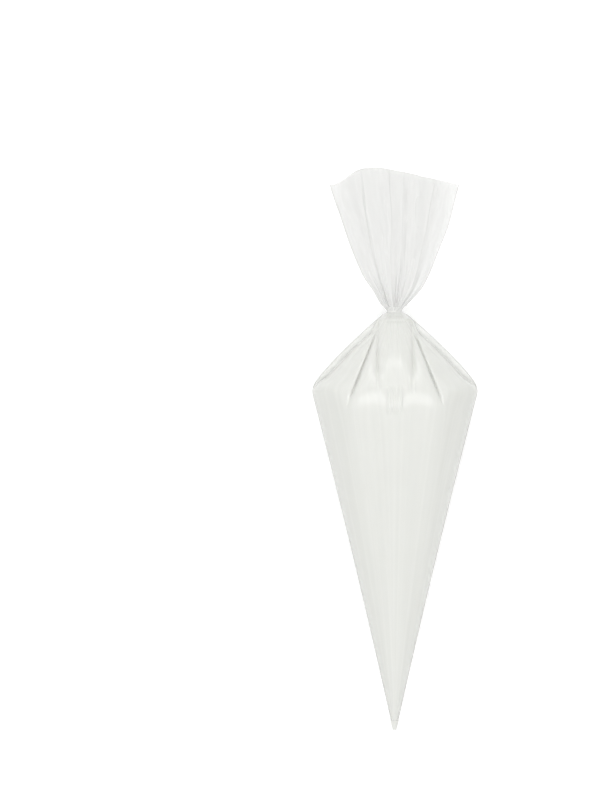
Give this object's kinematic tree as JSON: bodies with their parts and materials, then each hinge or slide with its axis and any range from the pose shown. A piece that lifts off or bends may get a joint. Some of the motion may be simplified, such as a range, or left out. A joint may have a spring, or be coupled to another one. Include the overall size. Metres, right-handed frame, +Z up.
{
  "type": "piping bag",
  "caption": "Filled disposable piping bag of clear film lying down: white icing, closed pointed tip, twisted neck and loose fanned tail.",
  "frame": {"origin": "centre of the footprint, on the table that the bag lies on", "axes": "+Z up from the table, +Y along the bag from the closed tip to the mouth of the tail, +X to the bag's right seen from above with the tail away from the viewer"},
  "size_m": [0.0898, 0.2974, 0.0499],
  "materials": {
    "icing": "smooth white icing, slightly glossy and opaque",
    "film": "thin clear film, soft gloss",
    "tail_film": "loose clear film in several layers, milky where folds lie on each other",
    "gathered_film": "clear film packed in fine pleats, milky white",
    "weld": "film melted into a thin translucent bead"
  },
  "bodies": {
    "bag": {"icing_filling": "icing", "front_film": "film", "back_film": "film", "left_side_weld": "weld", "right_side_weld": "weld", "tip_weld": "weld", "neck_gather": "gathered_film"},
    "neck": {"neck_twist": "gathered_film"},
    "tail": {"front_tail_film": "tail_film", "back_tail_film": "tail_film", "left_tail_weld": "weld", "right_tail_weld": "weld", "tail_gather": "gathered_film"}
  },
  "joints": [
    {"name": "neck_turn", "type": "hinge", "parent": "bag", "child": "neck", "pos_m": [0, 0.07335, 0.018], "axis": [0, 1, 0], "range_deg": [-180, 90]},
    {"name": "tail_fold", "type": "hinge", "parent": "neck", "child": "tail", "pos_m": [0, 0.07335, 0.018], "axis": [1, 0, 0], "range_deg": [-70, 70]}
  ]
}
